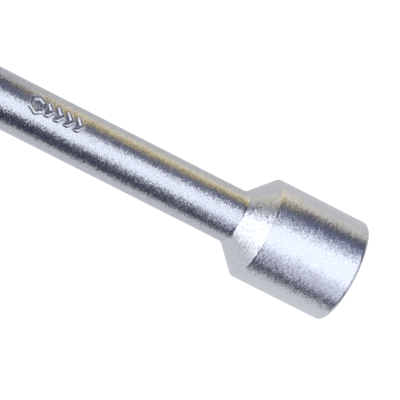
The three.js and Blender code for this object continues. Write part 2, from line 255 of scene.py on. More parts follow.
def skin(field, low, high, cell):
    """The surface where a field is zero, as points, quads and each point's cell. Each cell that
    the surface crosses gets a point, the mean of the crossings on its edges, which then moves
    onto the surface by the field over its slope. Each grid edge that is crossed gets a quad."""
    lines = [np.arange(a, b + cell / 2, cell) for a, b in zip(low, high)]
    grid = np.stack(np.meshgrid(*lines, indexing="ij"), -1)
    value = field(grid)
    cells = tuple(n - 1 for n in value.shape)
    total, count = np.zeros((*cells, 3)), np.zeros(cells)
    crossed = []
    ahead, behind = slice(None, -1), slice(1, None)
    for axis in range(3):
        value_a, value_b = np.moveaxis(value, axis, 0)[ahead], np.moveaxis(value, axis, 0)[behind]
        crossing = (value_a < 0) != (value_b < 0)
        share = np.where(crossing, value_a / np.where(crossing, value_a - value_b, 1), 0)
        place = np.moveaxis(grid, axis, 0)[:-1].copy()
        place[..., axis] += share * cell
        place *= crossing[..., None]
        total_a, count_a = np.moveaxis(total, axis, 0), np.moveaxis(count, axis, 0)
        for i in (ahead, behind):
            for j in (ahead, behind):
                total_a += place[:, i, j]
                count_a += crossing[:, i, j]
        crossed.append((crossing, value_a < 0))
    number = np.full(cells, -1)
    used = count > 0
    number[used] = np.arange(used.sum())
    points = total[used] / count[used][:, None]
    quads = []
    for axis, (crossing, inward) in enumerate(crossed):
        around = np.moveaxis(number, axis, 0)
        square = ((ahead, ahead), (behind, ahead), (behind, behind), (ahead, behind))
        ring = np.stack([around[:, i, j] for i, j in square], -1)
        here, rising = crossing[:, 1:-1, 1:-1], inward[:, 1:-1, 1:-1]
        flip = rising if axis != 1 else ~rising
        quads.append(ring[here & flip])
        quads.append(ring[here & ~flip][:, ::-1])
    step = 0.02 * cell
    for _ in range(5):
        rise = [field(points + side) - field(points - side) for side in step * np.eye(3)]
        slope = np.stack(rise, -1) / (2 * step)
        away = field(points) / np.maximum((slope**2).sum(-1), 0.2)
        points = points - np.clip(away, -0.4 * cell, 0.4 * cell)[:, None] * slope
    return points, np.concatenate(quads), np.argwhere(used)


def zipped(turns_a, turns_b, index_a, index_b):
    """The triangles of a narrow band between two rings of points at increasing turns: each step
    along either ring makes a triangle with the point that the other ring has reached."""
    order_a, order_b = np.argsort(turns_a), np.argsort(turns_b)
    a, b = turns_a[order_a], turns_b[order_b]
    count_a, count_b = len(a), len(b)
    reach_b = np.searchsorted(b, a, side="right") - 1
    reach_a = np.searchsorted(a, b, side="left") - 1
    step_a = np.stack([index_a[order_a[np.arange(count_a) - 1]], index_a[order_a],
                       index_b[order_b[reach_b % count_b]]], -1)
    step_b = np.stack([index_b[order_b], index_b[order_b[np.arange(count_b) - 1]],
                       index_a[order_a[reach_a % count_a]]], -1)
    return np.concatenate([step_a, step_b])


def spigot_field(points):
    """A fixed arm's spigot, in millimetres, x across it and y along the arm from the hub's middle:
    a cylinder with a rounded end and the roll pin's hole across it."""
    body = np.hypot(points[..., 0], points[..., 2]) - SPIGOT
    body = blend_max(body, SPIGOT_START / MM - points[..., 1], 1.6)
    return bored(body, points, 0, ROLL_PIN_X, ROLL_PIN_HOLE, -30, 30, 0.2)


def turned_head(mesh, neck):
    """Gives every face beyond the neck, by its distance from the hub's middle, the mesh's second
    material."""
    centres = np.zeros(len(mesh.polygons) * 3)
    mesh.polygons.foreach_get("center", centres)
    beyond = np.hypot(*centres.reshape(-1, 3)[:, :2].T) > neck
    mesh.polygons.foreach_set("material_index", beyond.astype(np.int32))


def arm_mesh(node, flats, axis, foot, field, low, high, start, mark_back, chevrons):
    """An arm along an axis from its foot: the skin of its hub end, open at the last layer of cells
    where it is round, zipped to the bar's first ring, and then bar, head and socket."""
    axis, foot = np.array(axis), np.array(foot)
    head = 2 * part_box(node)[1].z
    reach = np.abs(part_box(node)).max() - np.abs(foot).max()
    neck = neck_of(head, reach)
    turns, along, away = arm_rings(start, flats, head, reach, neck - mark_back, chevrons)
    rows, columns = along.shape
    points, quads, cells = skin(field, low, high, CELL)
    rim = np.flatnonzero(cells[:, 1] == cells[:, 1].max())
    ends = points[rim]
    ends[:, 1] = along[0, 0] / MM - CELL
    ends[:, [0, 2]] *= (away[0, 0] / MM / np.hypot(ends[:, 0], ends[:, 2]))[:, None]
    points[rim] = ends
    hub_end = foot + points @ np.stack([np.cross(axis, UP), axis, UP]) * MM
    rings = placed(turns, along, away, axis, foot).reshape(-1, 3)
    pole = foot + along[-1, 0] * axis
    first = len(hub_end)
    last = first + rows * columns
    rim_turns = np.arctan2(ends[:, 2], -ends[:, 0]) % (2 * np.pi)
    band = zipped(rim_turns, turns % (2 * np.pi), rim, first + np.arange(columns))
    mesh = mesh_of(node, np.concatenate([hub_end, rings, [pole]]), quads, band,
                   first + tube_faces(rows, columns),
                   cap_faces(last - columns + np.arange(columns), last, True))
    turned_head(mesh, neck + np.abs(foot).max())
    return mesh


def shown(name, mesh, body, node, slot, *materials):
    """A finished piece that stands for a CAD node and moves with its body."""
    piece = bpy.data.objects.new(name, mesh)
    bpy.context.scene.collection.objects.link(piece)
    for material in materials:
        mesh.materials.append(material)
    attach(piece, body)
    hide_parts(node)
    return piece


def linear(colour):
    """A hex colour as linear light: each sRGB channel through the standard curve."""
    channels = [int(colour[i:i + 2], 16) / 255 for i in (0, 2, 4)]
    return [c / 12.92 if c <= 0.04045 else ((c + 0.055) / 1.055) ** 2.4 for c in channels] + [1]


def add_node(material, kind, settings=(), **links):
    """Adds a shader node. Settings are its own properties, by name, or its sockets' values, by
    number or label. Links join a socket, by number after an underscore or by label, to an output."""
    tree = material.node_tree
    node = tree.nodes.new("ShaderNode" + kind)
    for key, value in dict(settings).items():
        if isinstance(key, str) and hasattr(node, key):
            setattr(node, key, value)
        else:
            node.inputs[key].default_value = value
    for key, output in links.items():
        label = int(key[1:]) if key[0] == "_" else key.replace("_", " ")
        tree.links.new(output, node.inputs[label])
    return node


def new_material(name):
    """An empty material and its one shader, already joined to the output."""
    material = bpy.data.materials.new(name)
    material.use_nodes = True
    return material, material.node_tree.nodes["Principled BSDF"]


def metal(material, shader, tone, dull, relief=None):
    """A metal whose shader is fed by a tone, a roughness and, where it has one, a relief."""
    for label, output in (("Base Color", tone), ("Roughness", dull), ("Normal", relief)):
        if output is not None:
            material.node_tree.links.new(output, shader.inputs[label])
    shader.inputs["Metallic"].default_value = 1.0
    return material


def satin_chrome(name, axis, arc, tilt, roughness, low, high):
    """Satin chrome on steel that was linished or turned. The belt or tool runs round the arm, so
    its scratches are arcs across the axis, of the given length and drawn 0.2 mm wide, coarser than
    they are, to show. Each leaves a facet that leans by the cube of a random share of the tilt:
    most hardly at all and a few a lot, which speckles the edges of what the metal mirrors. Pits of
    0.5 mm tone it between two greys, and its roughness varies in patches of 5 mm."""
    material, shader = new_material(name)
    place = add_node(material, "TexCoord").outputs["Object"]
    stretch = [1 / (0.2 * MM) if i == axis else 1 / arc for i in range(3)]
    belt = add_node(material, "Mapping", {"Scale": stretch}, Vector=place).outputs[0]
    facets = add_node(material, "TexVoronoi", {"Scale": 1.0}, Vector=belt).outputs["Color"]
    lean = add_node(material, "VectorMath", {"operation": "MULTIPLY_ADD", 1: (2, 2, 2), 2: (-1, -1, -1)},
                    _0=facets).outputs[0]
    square = add_node(material, "VectorMath", {"operation": "MULTIPLY"}, _0=lean, _1=lean).outputs[0]
    cube = add_node(material, "VectorMath", {"operation": "MULTIPLY"}, _0=square, _1=lean).outputs[0]
    pits = add_node(material, "TexNoise", {"Scale": 1 / (0.5 * MM), "Detail": 2.0, "Roughness": 0.7},
                    Vector=place)
    bump = add_node(material, "Bump", {"Strength": 1.0, "Distance": 0.05 * MM}, Height=pits.outputs[0])
    leant = add_node(material, "VectorMath", {"operation": "MULTIPLY_ADD", 1: (tilt, tilt, tilt)},
                     _0=cube, _2=bump.outputs[0])
    normal = add_node(material, "VectorMath", {"operation": "NORMALIZE"}, _0=leant.outputs[0])
    film = add_node(material, "TexNoise", {"Scale": 1 / (5 * MM), "Detail": 3.0, "Roughness": 0.6},
                    Vector=place)
    dull = add_node(material, "MapRange", {1: 0.3, 2: 0.7, 3: roughness - 0.03, 4: roughness + 0.04},
                    _0=film.outputs[0])
    tone = add_node(material, "MapRange", {1: 0.3, 2: 0.7, 3: 0.0, 4: 1.0}, _0=pits.outputs[0])
    tint = add_node(material, "Mix", {"data_type": "RGBA", 6: linear(low), 7: linear(high)},
                    _0=tone.outputs[0])
    return metal(material, shader, tint.outputs[2], dull.outputs[0], normal.outputs[0])


def bar_chrome(axis):
    """The bar's finish: arcs of 0.5 mm, which a coarse belt leaves."""
    return satin_chrome("satin chrome on linished bar, along " + "xy"[axis], axis, 0.5 * MM, 0.15,
                        0.26, "A8AAB0", "CACBCF")


def head_chrome(axis):
    """The turned head's finish: longer and shallower arcs under a paler film."""
    return satin_chrome("satin chrome on turned head, along " + "xy"[axis], axis, 0.7 * MM, 0.12,
                        0.25, "BCBEC3", "CDCED2")


CHROME_ALONG_X = (bar_chrome(0), head_chrome(0))
FIXED = ((19, 1), (17, -1))  # each fixed arm's socket, and its side of the hub
start = [((SPIGOT_JOIN + CELL) * MM, SPIGOT * MM, 0), (SHOULDER, SPIGOT * MM, 0.1 * MM),
         (SHOULDER, SHAFT, 0.6 * MM)]
cells = math.ceil((SPIGOT_JOIN - SPIGOT_START / MM) / CELL) + 2
low, high = (-7.6, SPIGOT_JOIN - CELL * cells, -7.6), (7.6, SPIGOT_JOIN, 7.6)
for (size, way), chevrons in zip(FIXED, (4, 3)):
    node = f"fixed_arm_{size}"
    mesh = arm_mesh(node, size * MM, (way, 0, 0), (0, 0, 0), spigot_field, low, high, start,
                    MARK_BACK, chevrons)
    shown(f"bar_and_socket_{size}", mesh, "hub", node, "satin_chrome", *CHROME_ALONG_X)


# ---- Hub ----
# A drop-forged steel block: a barrel for the fixed arms with a fork on each side for the folding
# ones. The slots, bores and counterbores are machined, then all of it is blasted and chromed.

HUB_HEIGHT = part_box("hub_body")[1].z / MM
HINGE_Y = 27.0
SLOT_HALF = 5.6
BARREL_END, BARREL_HALF = 36, 13.75
COLLAR_END, COLLAR = 42, 12.2  # the radius, which is less towards the end
BORE = 7.2
FORK, FORK_LEAN = 14, math.radians(14.8)  # a circle about the pin, and the lines that touch it
PIN_HOLE, HEAD_POCKET, RING_POCKET, PLUNGER_HOLE = 5.2, 6.65, 8.6, 3.1
TRACK, TRACK_TURNS = 10.5, (-135, -45)  # the ball's track about the pin, and its two dimples


def blend_min(a, b, radius):
    """The smaller of two fields, with a fillet where they meet."""
    return -blend_max(-a, -b, radius)


def on_track(turn):
    """The point of the ball's track at a turn about the hinge pin, in degrees."""
    return TRACK * np.array([math.cos(math.radians(turn)), math.sin(math.radians(turn))])


def plunger_place(way):
    """The middle of a fork's plunger in plan, over the track's first dimple."""
    return way * (on_track(TRACK_TURNS[0]) + (0, HINGE_Y))


def hub_field(points):
    """The hub. In plan it is the barrel's rounded rectangle joined by fillets to each fork, a
    circle about the hinge pin and the two lines that touch it; its walls lean in by the forging's
    draft on both sides of the parting line, which has a trace of flash. A collar is joined to each
    end. A shallow panel on top, the slots and the bores are then taken out."""
    x, y, z = points[..., 0], points[..., 1], points[..., 2]
    draft = np.abs(z) * 0.035
    flash = 0.18 * np.exp(-((z / 0.45) ** 2))
    barrel = blend_max(np.abs(x) - BARREL_END, np.abs(y) - BARREL_HALF, 7)
    ahead = np.abs(y) - HINGE_Y
    cheek = np.hypot(x, ahead) - FORK
    touching = np.abs(x) * math.cos(FORK_LEAN) + ahead * math.sin(FORK_LEAN) - FORK
    web = np.maximum(touching, ahead - FORK * math.sin(FORK_LEAN))
    plan = blend_min(barrel, np.minimum(cheek, web), 4) + draft - flash
    body = blend_max(plan, np.abs(z) - HUB_HEIGHT, 2.6)
    nose = COLLAR - np.maximum(np.abs(x) - 37.5, 0) * 0.45
    collar = blend_max(np.hypot(y, z) - nose, np.abs(x) - COLLAR_END, 0.8)
    body = blend_min(body, np.maximum(collar, BARREL_END - 4 - np.abs(x)), 2.5)
    panel_plan = np.hypot(np.maximum(np.abs(x) - 9, 0), y) - 7.5
    body = blend_max(body, -blend_max(panel_plan, HUB_HEIGHT - 0.7 - z, 0.6), 0.5)
    slot = np.maximum(np.abs(z) - SLOT_HALF, BARREL_HALF - np.abs(y))
    body = blend_max(body, -slot, 0.55)
    body = blend_max(body, -(np.hypot(y, z) - BORE), 0.4)
    for way in (1, -1):
        body = bored(body, points, 0, way * HINGE_Y, PIN_HOLE, -30, 30)
        body = bored(body, points, 0, way * HINGE_Y, HEAD_POCKET, HUB_HEIGHT - 2.6, 30)
        body = bored(body, points, 0, way * HINGE_Y, RING_POCKET, -30, 2.4 - HUB_HEIGHT)
        body = bored(body, points, *plunger_place(way), PLUNGER_HOLE, 0, 30, 0.25)
        body = bored(body, points, way * ROLL_PIN_X, 0, ROLL_PIN_HOLE, -30, 30)
    return body


def blasted_chrome(name):
    """Satin chrome over a blasted forging: an even pebbled grain, drawn 0.6 mm across to show, with
    shallow dents and a duller film in patches."""
    material, shader = new_material(name)
    place = add_node(material, "TexCoord").outputs["Object"]
    grit = add_node(material, "TexNoise", {"Scale": 1 / (0.6 * MM), "Detail": 3.0, "Roughness": 0.6},
                    Vector=place)
    dents = add_node(material, "TexNoise", {"Scale": 1 / (4.5 * MM), "Detail": 2.0, "Roughness": 0.5},
                     Vector=place)
    relief = add_node(material, "Math", {"operation": "MULTIPLY_ADD", 1: 3.0}, _0=dents.outputs[0],
                      _2=grit.outputs[0])
    bump = add_node(material, "Bump", {"Strength": 0.55, "Distance": 0.08 * MM}, Height=relief.outputs[0])
    dull = add_node(material, "MapRange", {1: 0.35, 2: 0.65, 3: 0.34, 4: 0.46}, _0=dents.outputs[0])
    tone = add_node(material, "MapRange", {1: 0.3, 2: 0.7, 3: 0.0, 4: 1.0}, _0=grit.outputs[0])
    tint = add_node(material, "Mix", {"data_type": "RGBA", 6: linear("B4B6BA"), 7: linear("C6C8CB")},
                    _0=tone.outputs[0])
    return metal(material, shader, tint.outputs[2], dull.outputs[0], bump.outputs[0])


HUB_CHROME = blasted_chrome("satin chrome on blasted forging")
hub_points, hub_quads, _ = skin(hub_field, (-43.1, -42.3, -14.1), (43.1, 42.3, 14.1), 0.5)
hub_mesh = mesh_of("forged_hub", hub_points * MM, hub_quads)
shown("forged_hub", hub_mesh, "hub", "hub_body", "hub_chrome", HUB_CHROME)


# ---- Folding arms ----
# The same bar and socket, but the hub's end is forged into a flat tongue, milled on both faces
# and bored for the hinge pin. Its square corner and flat side stop against the barrel, and a
# groove with two dimples guides the detent ball round the pin.

FOLDING = ((21, 1), (23, -1))  # each folding arm's socket, and its side of the hub
TONGUE, TONGUE_HALF = 13, 5.25  # half its width, and half its thickness
WASHER_POCKET, POCKET_FLOOR = 8.1, 4.55
JOIN = 31.0  # from the pin to where the tongue has become the round bar
FOLDING_MARK_BACK = 47 * MM


def smooth_step(start, end, value):
    """A rise from 0 at the start to 1 at the end: three times the share squared, less twice its
    cube."""
    part = np.clip((value - start) / (end - start), 0, 1)
    return part * part * (3 - 2 * part)


def tongue_field(points):
    """The tongue about its pin, x across it and y along the arm. In plan it is a rectangle whose
    rear right corner is a circle about the pin. Along the arm its width narrows and its thickness
    grows by smooth steps, and its field blends into the round bar's. The pin's hole, the washers'
    pockets and the ball's track are then taken out."""
    x, y, z = points[..., 0], points[..., 1], points[..., 2]
    narrow = smooth_step(11, 30, y)
    width = TONGUE - 5 * narrow
    thick = TONGUE_HALF + 2.75 * smooth_step(18.2, 30, y)
    corner = (x > 0) & (y < 0)
    plan = np.where(corner, np.hypot(x, y) - TONGUE, blend_max(np.abs(x) - width, -TONGUE - y, 0.6))
    flat = blend_max(plan, np.abs(z) - thick, 0.9)
    body = flat + (np.hypot(x, z) - SHAFT / MM - flat) * smooth_step(15, JOIN - 1, y)
    body = bored(body, points, 0, 0, PIN_HOLE, -30, 30)
    body = bored(body, points, 0, 0, WASHER_POCKET, POCKET_FLOOR, 30, 0.2)
    body = bored(body, points, 0, 0, WASHER_POCKET, -30, -POCKET_FLOOR, 0.2)
    groove = np.hypot(np.hypot(x, y) - TRACK, z - 6.5) - 2.2
    body = blend_max(body, -groove, 0.2)
    for turn in TRACK_TURNS:
        at_x, at_y = on_track(turn)
        dimple = np.sqrt((x - at_x) ** 2 + (y - at_y) ** 2 + (z - 6.2) ** 2) - 2.2
        body = blend_max(body, -dimple, 0.15)
    return body


CHROME_ALONG_Y = (bar_chrome(1), head_chrome(1))
low, high = (-14.2, -14.2, -9.0), (14.2, JOIN, 9.0)
for (size, way), chevrons in zip(FOLDING, (5, 6)):
    node, foot = f"folding_arm_{size}", (0, way * HINGE_Y * MM, 0)
    mesh = arm_mesh(node, size * MM, (0, way, 0), foot, tongue_field, low, high,
                    [((JOIN + CELL) * MM, SHAFT, 0)], FOLDING_MARK_BACK, chevrons)
    shown(f"tongue_bar_and_socket_{size}", mesh, f"arm_{size}", node, "satin_chrome", *CHROME_ALONG_Y)


# ---- Roll pins ----
# Slotted tubes of spring steel strip, rolled and hardened, driven through hub and spigot. The
# phosphate coat is dark grey and matt, and rubbed bright in patches by the driving.

ROLL_PIN, ROLL_PIN_INSIDE = 2.45, 1.5  # radii


def spring_steel(name):
    """Phosphated spring steel: a dark matt crystal grain, drawn 0.25 mm across to show, which is
    rubbed to bare grey metal in patches."""
    material, shader = new_material(name)
    place = add_node(material, "TexCoord").outputs["Object"]
    crystals = add_node(material, "TexNoise", {"Scale": 1 / (0.25 * MM), "Detail": 3.0}, Vector=place)
    rubs = add_node(material, "TexNoise", {"Scale": 1 / (2 * MM), "Detail": 4.0, "Roughness": 0.65},
                    Vector=place)
    shine = add_node(material, "MapRange", {1: 0.52, 2: 0.7}, _0=rubs.outputs[0])
    tint = add_node(material, "Mix", {"data_type": "RGBA", 6: linear("56585B"), 7: linear("A5A6A8")},
                    _0=shine.outputs[0])
    dull = add_node(material, "MapRange", {3: 0.48, 4: 0.28}, _0=shine.outputs[0])
    bump = add_node(material, "Bump", {"Strength": 0.5, "Distance": 0.03 * MM}, Height=crystals.outputs[0])
    return metal(material, shader, tint.outputs[2], dull.outputs[0], bump.outputs[0])


def closed_run(rings, turned=False):
    """Rows of points, each a closed ring, as one closed surface: quads between the rows and, at
    either end, a fan to the middle of the ring. Turned is for rings that go round the other way."""
    rows, columns = rings.shape[:2]
    ring, last = np.arange(columns), rows * columns
    faces = (tube_faces(rows, columns), cap_faces(ring, last, False),
             cap_faces(ring + last - columns, last + 1, True))
    points = np.concatenate([rings.reshape(-1, 3), rings[[0, -1]].mean(1)])
    return points, [face[:, ::-1] for face in faces] if turned else faces


def set_down(points, way, place):
    """Millimetre points in metres, turned half round for the side of way -1, at a place in plan."""
    return (points * (way, way, 1) + (*place, 0)) * MM


def roll_pin(way):
    """A rounded rectangle, the strip seen along the pin, carried round an arc that leaves the
    slot open. It is a little thinner at both ends of the strip, so their corners are broken."""
    top, edge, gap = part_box("roll_pin_19")[1].z / MM, 0.3, 0.3
    wall = (ROLL_PIN + ROLL_PIN_INSIDE) / 2
    section = rounded([
        (ROLL_PIN, 0, 0), (ROLL_PIN, top, edge), (ROLL_PIN_INSIDE, top, edge * 0.6),
        (ROLL_PIN_INSIDE, -top, edge * 0.6), (ROLL_PIN, -top, edge), (ROLL_PIN, 0, 0),
    ])[:-1]
    turns = np.linspace(gap, 2 * np.pi - gap, 72)
    left = np.clip(np.minimum(turns - gap, 2 * np.pi - gap - turns) / 0.06, 0, 1)
    swell = 0.8 + 0.2 * np.sin(left * np.pi / 2)
    radius = wall + (section[:, 0] - wall) * swell[:, None]
    rings = np.stack([radius * np.cos(turns)[:, None], radius * np.sin(turns)[:, None],
                      np.repeat(section[None, :, 1], len(turns), 0)], -1)
    points, faces = closed_run(rings, turned=True)
    return mesh_of("roll_pin", set_down(points, way, (way * ROLL_PIN_X, 0)), *faces)


PIN_STEEL = spring_steel("phosphated spring steel")
for size, way in FIXED:
    shown(f"rolled_pin_{size}", roll_pin(way), "hub", f"roll_pin_{size}", "spring_steel", PIN_STEEL)


# ---- Hinge pins ----
# Turned steel pins with a low domed head, bright zinc plated. They stand in the forks, head up in
# a counterbore, and have a groove near the foot for the retaining ring.

def zinc_plate(name, way):
    """Bright zinc plate on turned steel: bluish, with the lathe's fine rings round the hinge pin's
    axis, drawn 0.6 mm apart to show, and a few stains. A wave's rings are pi / 10 apart at scale 1."""
    spacing = 0.592 * MM
    material, shader = new_material(name)
    place = add_node(material, "TexCoord").outputs["Object"]
    centred = add_node(material, "Mapping", {"Location": (0, -way * HINGE_Y * MM, 0)}, Vector=place)
    rings = add_node(material, "TexWave", {"wave_type": "RINGS", "rings_direction": "Z",
                                           "Scale": math.pi / 10 / spacing, "Distortion": 0.4,
                                           "Detail": 2.0, "Detail Scale": 1.5}, Vector=centred.outputs[0])
    stains = add_node(material, "TexNoise", {"Scale": 1 / (1.6 * MM), "Detail": 3.0, "Roughness": 0.6},
                      Vector=place)
    tone = add_node(material, "MapRange", {1: 0.35, 2: 0.7}, _0=stains.outputs[0])
    tint = add_node(material, "Mix", {"data_type": "RGBA", 6: linear("CDD1D9"), 7: linear("B7BAC2")},
                    _0=tone.outputs[0])
    dull = add_node(material, "MapRange", {3: 0.2, 4: 0.34}, _0=tone.outputs[0])
    bump = add_node(material, "Bump", {"Strength": 0.5, "Distance": 0.02 * MM}, Height=rings.outputs[1])
    return metal(material, shader, tint.outputs[2], dull.outputs[0], bump.outputs[0])


def spun(name, outline, x, y, columns=96, ring=False):
    """An outline of (radius, height) spun about an upright axis. A ring's outline closes on
    itself; any other starts and ends on the axis, where poles close it."""
    turns = np.arange(columns) * 2 * np.pi / columns
    radius, height = np.array(outline).T
    if not ring:
        low, high = height[0], height[-1]
        radius, height = radius[1:-1], height[1:-1]
    rings = np.stack([radius[:, None] * np.cos(turns) + x, radius[:, None] * np.sin(turns) + y,
                      np.repeat(height[:, None], columns, 1)], -1)
    rows = len(radius)
    if ring:
        return mesh_of(name, rings.reshape(-1, 3) * MM, tube_faces(rows + 1, columns) % (rows * columns))
    points = np.concatenate([rings.reshape(-1, 3), [(x, y, low), (x, y, high)]])
    last = rows * columns
    circle = np.arange(columns)
    return mesh_of(name, points * MM, tube_faces(rows, columns), cap_faces(circle, last, False),
                   cap_faces(circle + last - columns, last + 1, True))


def hinge_pin(way):
    """The turned outline from the foot up: groove, stem, and a head with a low dome and a centre
    mark."""
    low, high = (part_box("hinge_pin_21")[i].z / MM for i in (0, 1))
    seat = high - 2.4
    return spun("hinge_pin", rounded([
        (0, low, 0), (5, low, 0.6), (5, low + 0.8, 0.1), (4, low + 0.8, 0.1), (4, low + 1.9, 0.1),
        (5, low + 1.9, 0.1), (5, seat, 0.1), (6.4, seat, 0.25), (6.4, high - 0.5, 0.5),
        (4.6, high - 0.12, 3.0), (0.9, high, 0.3), (0.75, high - 0.3, 0.15), (0, high - 0.35, 0),
    ], 6), 0, way * HINGE_Y)


for size, way in FOLDING:
    shown(f"headed_pin_{size}", hinge_pin(way), "hub", f"hinge_pin_{size}", "zinc_plate",
          zinc_plate(f"bright zinc plate on turned pin {size}", way))


# ---- Retaining rings ----
# Stamped from spring steel and snapped from the side into the groove at each hinge pin's foot,
# where three prongs hold it. Tumbling has rounded its edges a little.

def retaining_ring(way):
    """The ring's width runs from an inner to an outer radius at each turn. The inner one steps
    smoothly between the prongs' and the back's. The ends are rounded by pinching the width to its
    middle along a quarter of a circle."""
    outer, prong, back, mouth = 8.05, 4.14, 6.0, 0.5
    turns = np.linspace(mouth, 2 * np.pi - mouth, 240)
    on_prong = np.zeros_like(turns)
    for start, end in ((0.3, 1.15), (2.85, 3.45), (5.13, 6.0)):
        rise = smooth_step(start - 0.12, start + 0.02, turns)
        on_prong += rise * (1 - smooth_step(end - 0.02, end + 0.12, turns))
    inner = back + (prong - back) * np.clip(on_prong, 0, 1)
    left = np.clip(np.minimum(turns - mouth, 2 * np.pi - mouth - turns) / 0.09, 0.02, 1)
    pinch = np.sqrt(1 - (1 - left) ** 2) * 0.55 + 0.45
    middle, half = (outer + inner) / 2, (outer - inner) / 2 * pinch
    low, high = (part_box("retaining_ring_21")[i].z / MM for i in (0, 1))
    edge = 0.12
    unit = np.array([(-1, low + edge), (-1, high - edge), (-0.97, high - edge * 0.3), (-0.93, high),
                     (0.93, high), (0.97, high - edge * 0.3), (1, high - edge), (1, low + edge),
                     (0.97, low + edge * 0.3), (0.93, low), (-0.93, low), (-0.97, low + edge * 0.3)])
    radius = middle[:, None] + half[:, None] * unit[None, :, 0]
    rings = np.stack([radius * np.cos(turns)[:, None], radius * np.sin(turns)[:, None],
                      np.repeat(unit[None, :, 1], len(turns), 0)], -1)
    points, faces = closed_run(rings)
    return mesh_of("retaining_ring", set_down(points, way, (0, way * HINGE_Y)), *faces)


for size, way in FOLDING:
    node = f"retaining_ring_{size}"
    shown(f"snap_ring_{size}", retaining_ring(way), "hub", node, "spring_steel", PIN_STEEL)


# ---- Thrust washers ----
# Turned bronze washers in the tongues' shallow pockets, which keep steel from rubbing on steel.
# Only their rims show in the forks' slots.

def washer_bronze(name):
    """Rolled bronze, turned flat: brown gold with a fine grain and a darker film in patches."""
    material, shader = new_material(name)
    place = add_node(material, "TexCoord").outputs["Object"]
    film = add_node(material, "TexNoise", {"Scale": 1 / (1.5 * MM), "Detail": 4.0, "Roughness": 0.6},
                    Vector=place)
    grain = add_node(material, "TexNoise", {"Scale": 1 / (0.22 * MM), "Detail": 2.0}, Vector=place)
    tone = add_node(material, "MapRange", {1: 0.35, 2: 0.65}, _0=film.outputs[0])
    tint = add_node(material, "Mix", {"data_type": "RGBA", 6: linear("C29A58"), 7: linear("8E6A38")},
                    _0=tone.outputs[0])
    dull = add_node(material, "MapRange", {3: 0.26, 4: 0.45}, _0=tone.outputs[0])
    bump = add_node(material, "Bump", {"Strength": 0.4, "Distance": 0.02 * MM}, Height=grain.outputs[0])
    return metal(material, shader, tint.outputs[2], dull.outputs[0], bump.outputs[0])


def thrust_washer(node, way):
    """A flat rectangle with rounded corners, spun about the hinge pin."""
    low, high = (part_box(node)[i].z / MM for i in (0, 1))
    inner, outer, edge, middle = 5.25, 7.85, 0.12, (low + high) / 2
    return spun("thrust_washer", rounded([
        (inner, middle, 0), (inner, low, edge), (outer, low, edge), (outer, high, edge),
        (inner, high, edge), (inner, middle + 0.01, 0),
    ])[:-1], 0, way * HINGE_Y, ring=True)


WASHER_BRONZE = washer_bronze("turned bronze washer")
for level in ("upper", "lower"):
    for size, way in FOLDING:
        node = f"{level}_washer_{size}"
        shown(f"bronze_{node}", thrust_washer(node, way), "hub", node, "bronze", WASHER_BRONZE)


# ---- Ball plungers ----
# A screwed steel shell, black oxidised, with a screwdriver slot on top. A hardened ball sticks out
# of its foot into the tongue's track, pressed down by a small coil spring inside.

def black_oxide(name):
    """Black oxide on steel: blue black and satin, rubbed grey in patches."""
    material, shader = new_material(name)
    place = add_node(material, "TexCoord").outputs["Object"]
    grain = add_node(material, "TexNoise", {"Scale": 1 / (0.3 * MM), "Detail": 3.0, "Roughness": 0.6},
                     Vector=place)
    rubs = add_node(material, "TexNoise", {"Scale": 1 / (1.1 * MM), "Detail": 3.0, "Roughness": 0.7},
                    Vector=place)
    patchy = add_node(material, "MapRange", {1: 0.56, 2: 0.74}, _0=rubs.outputs[0])
    tint = add_node(material, "Mix", {"data_type": "RGBA", 6: linear("222428"), 7: linear("8C8D90")},
                    _0=patchy.outputs[0])
    dull = add_node(material, "MapRange", {1: 0.3, 2: 0.7, 3: 0.3, 4: 0.46}, _0=grain.outputs[0])
    bump = add_node(material, "Bump", {"Strength": 0.4, "Distance": 0.03 * MM}, Height=grain.outputs[0])
    return metal(material, shader, tint.outputs[2], dull.outputs[0], bump.outputs[0])


PLUNGER_FOOT, PLUNGER_TOP = (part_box("plunger_shell_21")[i].z / MM for i in (0, 1))
SHELL, SHELL_BORE, THREAD_PITCH = 3, 2.13, 0.5
WIRE, COIL, COIL_TURNS = 0.22, 1.5, 4  # radii, and the turns of wire


def shell_field(points):
    """The shell about its own axis: a rounded cylinder less its bore, which a lip narrows at the
    foot, and less the slot across its top. A shallow spiral groove outside is the thread."""
    x, y, z = points[..., 0], points[..., 1], points[..., 2]
    radius = np.hypot(x, y)
    climb = z / THREAD_PITCH - np.arctan2(y, x) / (2 * np.pi)
    thread = 0.14 * (np.abs(climb % 1 - 0.5) * 2)
    thread *= smooth_step(PLUNGER_FOOT + 0.4, PLUNGER_FOOT + 0.9, z) * (1 - smooth_step(11.2, 11.7, z))
    body = blend_max(radius - SHELL + thread, np.maximum(z - PLUNGER_TOP, PLUNGER_FOOT - z), 0.6)
    bore = np.maximum(radius - SHELL_BORE, z - (PLUNGER_TOP - 1.7))
    lip = radius - SHELL_BORE + 0.18 * (1 - smooth_step(PLUNGER_FOOT, PLUNGER_FOOT + 0.5, z))
    body = blend_max(body, -np.maximum(bore, lip), 0.12)
    return blend_max(body, -blend_max(np.abs(y) - 0.4, PLUNGER_TOP - 0.9 - z, 0.2), 0.2)


def plunger_shell(way):
    """The skin of the shell's field on a grid fine enough for its thread, in its fork's hole."""
    side = SHELL + 0.3
    points, quads, _ = skin(shell_field, (-side, -side, PLUNGER_FOOT - 0.3),
                            (side, side, PLUNGER_TOP + 0.3), 0.11)
    return mesh_of("plunger_shell", set_down(points, way, plunger_place(way)), quads)


